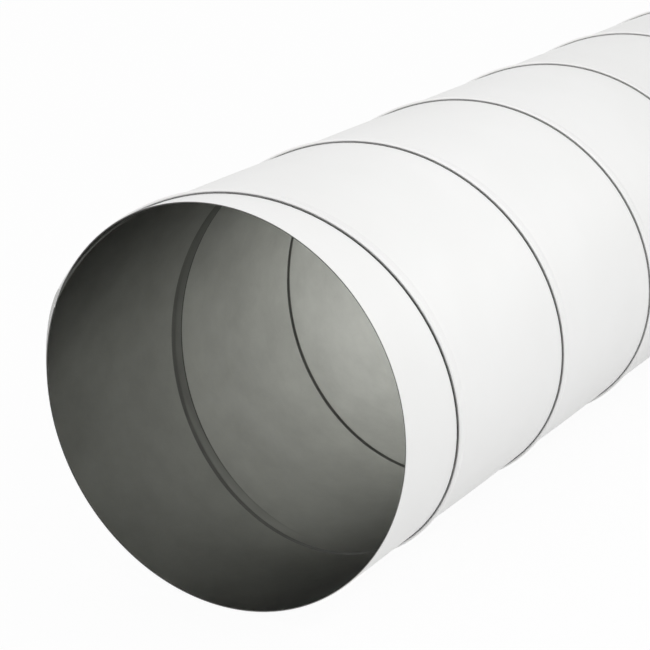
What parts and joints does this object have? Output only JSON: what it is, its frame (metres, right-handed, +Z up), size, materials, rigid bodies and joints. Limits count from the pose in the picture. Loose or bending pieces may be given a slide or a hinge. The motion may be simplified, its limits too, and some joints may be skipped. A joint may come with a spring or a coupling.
{
  "type": "spiral duct section",
  "caption": "Round spiral-wound ventilation duct with a helical lock seam, white coated outside and bare galvanised inside, cut square at both ends.",
  "frame": {"origin": "on the ground, under the middle of the duct's length", "axes": "+Y along the duct from its front end to its back end, +Z up, +X to the right as seen from the front"},
  "size_m": [0.2048, 1, 0.2047],
  "materials": {
    "white_coated_sheet": "satin white coating outside, bare dull galvanised steel inside and on the cut edges"
  },
  "bodies": {
    "root": {"spiral_duct": "white_coated_sheet"}
  },
  "joints": []
}
